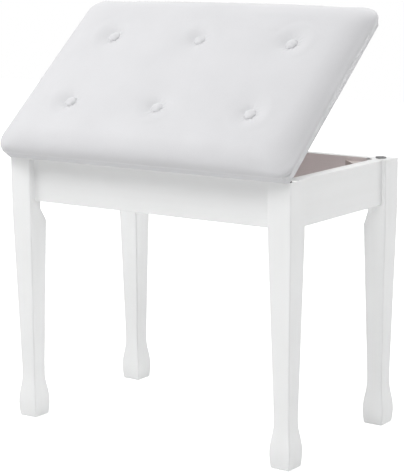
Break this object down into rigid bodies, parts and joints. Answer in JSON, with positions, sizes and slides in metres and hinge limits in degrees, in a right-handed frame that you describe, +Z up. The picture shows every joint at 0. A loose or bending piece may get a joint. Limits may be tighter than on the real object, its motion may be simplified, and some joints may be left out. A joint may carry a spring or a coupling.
{
  "type": "piano bench with storage lid",
  "caption": "White padded bench with a button-tufted lid that hinges open on slotted stays over a shallow storage box, on square tapered legs with spade feet.",
  "frame": {"origin": "on the floor under the middle of the bench as it stands with its lid open", "axes": "+X along the bench to its right, +Y from the hinge side to the far side, +Z up"},
  "size_m": [0.5476, 0.3429, 0.6678],
  "materials": {
    "painted_wood": "smooth satin white paint",
    "plywood": "bare sanded plywood",
    "cover_leather": "smooth white leather-look cover, low sheen",
    "foam": "open-cell foam",
    "lining_cloth": "plain non-woven cloth",
    "tie_cord": "twisted cord",
    "zinc_steel": "bright zinc plate",
    "dark_steel": "dark plated steel",
    "bumper_rubber": "matt grey rubber"
  },
  "bodies": {
    "frame": {"front_rail": "painted_wood", "back_rail": "painted_wood", "left_rail": "painted_wood", "right_rail": "painted_wood", "front_left_leg": "painted_wood", "front_right_leg": "painted_wood", "back_left_leg": "painted_wood", "back_right_leg": "painted_wood", "front_left_block": "painted_wood", "front_right_block": "painted_wood", "back_left_block": "painted_wood", "back_right_block": "painted_wood", "storage_floor": "painted_wood", "block_screws": "zinc_steel", "leg_bolts": "dark_steel", "leg_washers": "dark_steel", "leg_nuts": "dark_steel", "left_bumper": "bumper_rubber", "right_bumper": "bumper_rubber", "bumper_screws": "zinc_steel", "frame_hinge_leaf": "zinc_steel", "frame_hinge_screws": "zinc_steel", "hinge_pin": "dark_steel", "left_stay_bracket": "zinc_steel", "right_stay_bracket": "zinc_steel", "stay_studs": "zinc_steel", "stay_bracket_screws": "zinc_steel"},
    "lid": {"lid_board": "plywood", "seat_foam": "foam", "seat_cover": "cover_leather", "tuft_buttons": "cover_leather", "button_ties": "tie_cord", "tie_washers": "zinc_steel", "lid_lining": "lining_cloth", "upholstery_staples": "zinc_steel", "lid_hinge_leaf": "zinc_steel", "lid_hinge_screws": "zinc_steel", "left_lid_ear": "zinc_steel", "right_lid_ear": "zinc_steel", "lid_ear_screws": "zinc_steel", "stay_rivets": "zinc_steel"},
    "left_stay_arm": {"left_stay_arm": "zinc_steel"},
    "right_stay_arm": {"right_stay_arm": "zinc_steel"}
  },
  "joints": [
    {"name": "lid_hinge", "type": "hinge", "parent": "frame", "child": "lid", "pos_m": [0, -0.14325, 0.4313], "axis": [1, 0, 0], "range_deg": [-40.1, 0]},
    {"name": "left_stay_pivot", "type": "hinge", "parent": "lid", "child": "left_stay_arm", "pos_m": [-0.165, -0.10103, 0.45809], "axis": [1, 0, 0], "range_deg": [0, 20.05]},
    {"name": "right_stay_pivot", "type": "hinge", "parent": "lid", "child": "right_stay_arm", "pos_m": [0.165, -0.10103, 0.45809], "axis": [1, 0, 0], "range_deg": [0, 20.05]}
  ],
  "couplings": [
    {"joint": "left_stay_pivot", "follows": "lid_hinge", "ratio": -0.5},
    {"joint": "right_stay_pivot", "follows": "lid_hinge", "ratio": -0.5}
  ]
}
